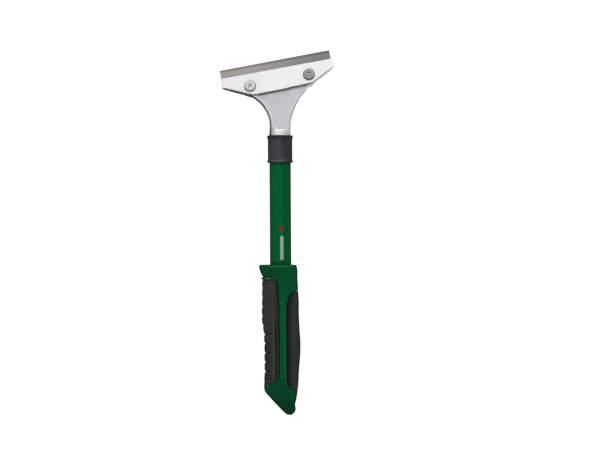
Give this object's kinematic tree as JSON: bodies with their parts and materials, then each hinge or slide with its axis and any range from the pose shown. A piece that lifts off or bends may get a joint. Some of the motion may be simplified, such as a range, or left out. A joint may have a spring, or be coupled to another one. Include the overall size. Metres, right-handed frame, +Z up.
{
  "type": "hand floor scraper",
  "caption": "Hand floor scraper: wide razor blade clamped by a screwed plate to a cast head on a tubular shank with a moulded two-part grip.",
  "frame": {"origin": "centre of the footprint on the bench that the tool lies on, cutting edge and grip flank both touching it", "axes": "+Y along the shank towards the blade, +X across the tool to the right seen from the screw side, +Z up out of the bench on the screw side"},
  "size_m": [0.1026, 0.3264, 0.027],
  "materials": {
    "cast_aluminium": "die-cast, satin, lightly tumbled",
    "plated_steel": "bright zinc-nickel plated, fine brushed",
    "blade_steel": "ground carbon steel, oiled",
    "screw_steel": "plated pan head",
    "black_plastic": "moulded, semi-matt",
    "green_paint": "gloss enamel on steel tube",
    "green_plastic": "moulded, satin",
    "grip_rubber": "moulded soft-touch elastomer, matt"
  },
  "bodies": {
    "handle": {"head_casting": "cast_aluminium", "collar": "black_plastic", "tube": "green_paint", "neck_pin": "blade_steel", "handle_core": "green_plastic", "grip_pad_front": "grip_rubber", "grip_pad_back": "grip_rubber"},
    "clamp": {"clamp_plate": "plated_steel"},
    "blade": {"blade": "blade_steel"},
    "screw_left": {"screw_left": "screw_steel"},
    "screw_right": {"screw_right": "screw_steel"}
  },
  "joints": [
    {"name": "clamp_lift", "type": "slide", "parent": "handle", "child": "clamp", "axis": [-0.0557, 0.304, 0.9511], "range_m": [0, 0.0012]},
    {"name": "screw_left_turn", "type": "hinge", "parent": "clamp", "child": "screw_left", "pos_m": [-0.02379, 0.13087, 0.00862], "axis": [-0.0557, 0.304, 0.9511], "range_deg": [0, 541]},
    {"name": "screw_right_turn", "type": "hinge", "parent": "clamp", "child": "screw_right", "pos_m": [0.02891, 0.14091, 0.00849], "axis": [-0.0557, 0.304, 0.9511], "range_deg": [0, 541]},
    {"name": "blade_slide", "type": "slide", "parent": "handle", "child": "blade", "axis": [-0.1714, 0.9355, -0.309], "range_m": [0, 0.012]}
  ],
  "couplings": [
    {"joint": "screw_left_turn", "follows": "clamp_lift", "rad_per_m": 7854},
    {"joint": "screw_right_turn", "follows": "clamp_lift", "rad_per_m": 7854}
  ]
}
